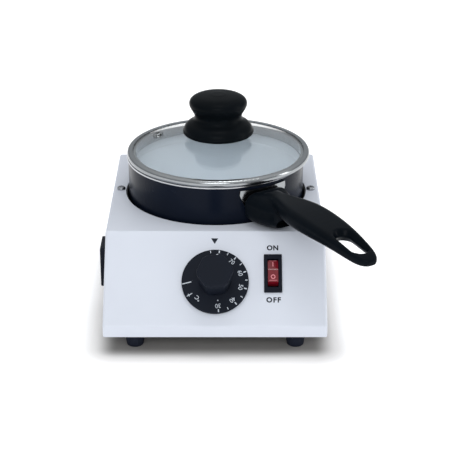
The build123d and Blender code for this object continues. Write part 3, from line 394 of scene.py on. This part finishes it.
pan_pts = [(0, PB + 3.0), (0, PB), (40, PB), (POT_R - 9, PB)]
pan_pts = [(0, PB)] + [(40, PB), (POT_R - 9, PB)] + arc_pts((POT_R - 9, PB + 8.7), 8.7, -78, 0, 8) + [
    (POT_R, PR - 2.4), (POT_R + 0.1, PR - 2.0), (POT_R + 0.5, PR - 1.7), (POT_R + 0.8, PR - 1.3), (POT_R + 0.9, PR - 0.8), (POT_R + 0.7, PR - 0.2), (POT_R + 0.3, PR),
    (POT_R - WALL + 0.6, PR), (POT_R - WALL + 0.15, PR - 0.15), (POT_R - WALL, PR - 0.6),
    (POT_R - WALL, 18.2), (POT_R - WALL - 0.15, 17.9), (POT_R - WALL - 0.6, 17.5), (POT_R - WALL - 0.7, 17.2), (POT_R - WALL - 0.9, PB + 9.7)] + [
    p for p in arc_pts((POT_R - WALL - 7.6, PB + 9.7), 6.7, 0, -90, 9)][1:] + [(40, PB + 3.0), (0, PB + 3.0)]
OUTER_N = 3 + 9 + 3


def pan_mat(i, p, q):
    if p[1] > PR - 1.75 and q[1] > PR - 1.75:
        return 2
    if i <= OUTER_N - 2:
        return 0
    return 1


pan_vis = lathe("pan_body", pan_pts, ["pan_black", "pan_ceramic", "pan_rim"], pan_mat, POT_X, POT_Y)
sharp_by_angle(pan_vis, 40)
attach(pan_vis, "pot")
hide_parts("pot_pan")

# ------------------------------------------------------------------ handle: the moulding, its unions blended


def moulded(name, cad, voxel, rounds, mat):
    """A new mesh over a CAD node's shape, remeshed evenly and relaxed, so that its unions and rims are moulded round."""
    ob = new_obj(name, frame["nodes"][cad].data.copy())
    rm = ob.modifiers.new("remesh", "REMESH")
    rm.mode = "VOXEL"
    rm.voxel_size = voxel
    sm = ob.modifiers.new("relax", "SMOOTH")
    sm.factor = 0.5
    sm.iterations = rounds
    bpy.context.view_layer.update()
    dg = bpy.context.evaluated_depsgraph_get()
    me = bpy.data.meshes.new_from_object(ob.evaluated_get(dg))
    me.name = name
    ob.modifiers.clear()
    ob.data = me
    me.materials.clear()
    me.materials.append(MAT[mat])
    for p in me.polygons:
        p.use_smooth = True
        p.material_index = 0
    return ob


handle = moulded("handle_moulding", "pot_handle", 0.55 * MM, 22, "phenolic_handle")
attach(handle, "pot")
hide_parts("pot_handle")

# ------------------------------------------------------------------ printing, as thin solids


def flat_text(text, height, bold=0.0, spacing=1.0):
    """(vertices, faces) of a text outline, centred, its capitals height tall, in mm."""
    cu = bpy.data.curves.new("t", "FONT")
    cu.body = text
    cu.size = 1.0
    cu.offset = bold
    cu.space_character = spacing
    cu.resolution_u = 4
    ob = bpy.data.objects.new("t", cu)
    bpy.context.collection.objects.link(ob)
    bpy.context.view_layer.update()
    me = bpy.data.meshes.new_from_object(ob.evaluated_get(bpy.context.evaluated_depsgraph_get()))
    vs_ = [v.co.copy() for v in me.vertices]
    fs_ = [tuple(p.vertices) for p in me.polygons]
    bpy.data.objects.remove(ob)
    bpy.data.curves.remove(cu)
    x0, x1 = min(v.x for v in vs_), max(v.x for v in vs_)
    y0, y1 = min(v.y for v in vs_), max(v.y for v in vs_)
    k = height / (y1 - y0)
    out = [((v.x - (x0 + x1) / 2) * k, (v.y - (y0 + y1) / 2) * k) for v in vs_]
    bpy.data.meshes.remove(me)
    return out, fs_


def bar(p, q, w):
    """A straight bar of width w from p to q, as (vertices, faces)."""
    d = Vector((q[0] - p[0], q[1] - p[1]))
    n = Vector((-d.y, d.x)).normalized() * (w / 2)
    steps = max(1, int(d.length / 0.8))
    vs_, fs_ = [], []
    for i in range(steps + 1):
        c = Vector(p) + d * (i / steps)
        vs_ += [(c.x + n.x, c.y + n.y), (c.x - n.x, c.y - n.y)]
        if i:
            k = 2 * i
            fs_.append((k - 2, k - 1, k + 1, k))
    return vs_, fs_


def dot(c, r, n=16, inner=0.0):
    if inner:
        vs_ = [(c[0] + rr * math.cos(2 * math.pi * i / n), c[1] + rr * math.sin(2 * math.pi * i / n)) for rr in (r, inner) for i in range(n)]
        return vs_, [(i, (i + 1) % n, n + (i + 1) % n, n + i) for i in range(n)]
    return [(c[0] + r * math.cos(2 * math.pi * i / n), c[1] + r * math.sin(2 * math.pi * i / n)) for i in range(n)], [tuple(range(n))]


def printed(name, shapes, place, mat, body, thick=0.07):
    """Thin raised solids: each shape is (vertices in mm, faces), laid on a surface by place(x, y, height)."""
    bm = bmesh.new()
    for vs_, fs_ in shapes:
        lo = [bm.verts.new(place(x, y, -0.04)) for x, y in vs_]
        hi = [bm.verts.new(place(x, y, thick)) for x, y in vs_]
        edges = {}
        for f in fs_:
            try:
                bm.faces.new([hi[i] for i in f])
                bm.faces.new([lo[i] for i in reversed(f)])
            except ValueError:
                continue
            for a, b in zip(f, f[1:] + f[:1]):
                edges[(a, b)] = edges.get((a, b), 0) + 1
        for (a, b) in edges:
            if (b, a) not in edges:
                bm.faces.new((lo[a], lo[b], hi[b], hi[a]))
    bmesh.ops.recalc_face_normals(bm, faces=bm.faces)
    me = bpy.data.meshes.new(name)
    bm.to_mesh(me)
    bm.free()
    me.materials.append(MAT[mat])
    ob = new_obj(name, me)
    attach(ob, body)
    return ob


def on_panel(x, y, d):
    """x across, y up the panel from its top fold (so y is -v)."""
    return panel_pt(x, -y, d)


def shifted(shape, dx, dy, angle=0.0):
    c, s_ = math.cos(angle), math.sin(angle)
    return [(dx + x * c - y * s_, dy + x * s_ + y * c) for x, y in shape[0]], shape[1]


def widened(shape, k):
    return [(x * k, y) for x, y in shape[0]], shape[1]


tri = ([(-3.2, -6.1), (2.3, -6.1), (-0.45, -10.7)], [(0, 2, 1)])
printed("pointer_print", [tri], on_panel, "print_grey", "base")
printed("on_print", [shifted(flat_text("ON", 4.3, 0.04, 1.12), 44.6, -13.95)], on_panel, "print_grey", "base")
printed("off_print", [shifted(flat_text("OFF", 4.4, 0.04, 1.22), 44.95, -56.5)], on_panel, "print_grey", "base")


def on_dial(x, y, d):
    """x across, y up the panel from the dial's centre, on the skirt's cone."""
    r = math.hypot(x, y)
    return panel_pt(x, DIAL_V - y, 4.2 - (r - 12.6) * 0.7 / 12.7 + d)


def polar(r, deg):
    a = math.radians(deg)
    return (r * math.sin(a), -r * math.cos(a))


scale = []
ticks = {30: 6.3, 35: 23.9, 40: 41.3, 45: 58.0, 50: 75.5, 55: 91.8, 60: 108.0, 65: 124.6, 70: 140.3, 75: 156.1, 80: 172.4, 85: 188.5}
for value, ang in ticks.items():
    ten = value % 10 == 0
    scale.append(bar(polar(22.9 if ten else 23.1, ang), polar(25.1, ang), 0.85 if ten else 0.6))
    if ten and value < 90:
        a = math.radians(ang)
        scale.append(shifted(widened(flat_text(str(value), 3.4, 0.0), 0.95), *polar(20.3, ang), math.pi + a))
scale.append(bar(polar(18.4, 272.3), polar(25.4, 275.6), 0.75))
scale.append(bar(polar(20.2, 299.7), polar(25.0, 299.7), 0.6))
scale.append(bar(polar(23.2, 297.0), polar(23.2, 302.4), 0.6))
scale.append(shifted(flat_text("\u00b0C", 3.4, 0.01), *polar(19.4, 316.8), math.pi + math.radians(316.8)))
scale.append(dot(polar(16.0, 7.5), 0.5, 12))
printed("dial_scale", scale, on_dial, "print_white", "dial")

# marks on the rocker: its two faces, rolled to ON at rest
CREST, ROCK_END, TILT = 11.8, 9.4, math.radians(10)
END_H = CREST - ROCK_END * math.tan(TILT)


def rk(t, h):
    return (t * math.cos(TILT) - h * math.sin(TILT), t * math.sin(TILT) + h * math.cos(TILT))


def face_placer(t0, h0, t1, h1):
    """x across, y down the panel along the rocker's face from its first end, mm."""
    (a, ha), (b, hb) = rk(t0, h0), rk(t1, h1)
    L = math.hypot(b - a, hb - ha)
    tx, hx = (b - a) / L, (hb - ha) / L
    nx, nh = -hx, tx

    def place(x, y, d):
        t, h = a + tx * y + nx * d, ha + hx * y + nh * d
        return panel_pt(SW_U + x, SW_V + t, PIV_D + h)
    return place, L


up_face, LU = face_placer(-ROCK_END + 0.5, END_H + 0.05, -1.6, CREST - 0.30)
dn_face, LD = face_placer(1.6, CREST - 0.30, ROCK_END - 0.5, END_H + 0.05)
printed("rocker_mark_on", [bar((0, LU - 6.1), (0, LU - 1.6), 0.65), bar((-2.9, 0.35), (2.9, 0.35), 0.28)], up_face, "rocker_mark", "rocker", 0.06)
printed("rocker_mark_off", [dot((0, 4.1), 1.75, 28, 1.15), bar((-2.9, LD - 0.45), (2.9, LD - 0.45), 0.28)], dn_face, "rocker_mark", "rocker", 0.06)
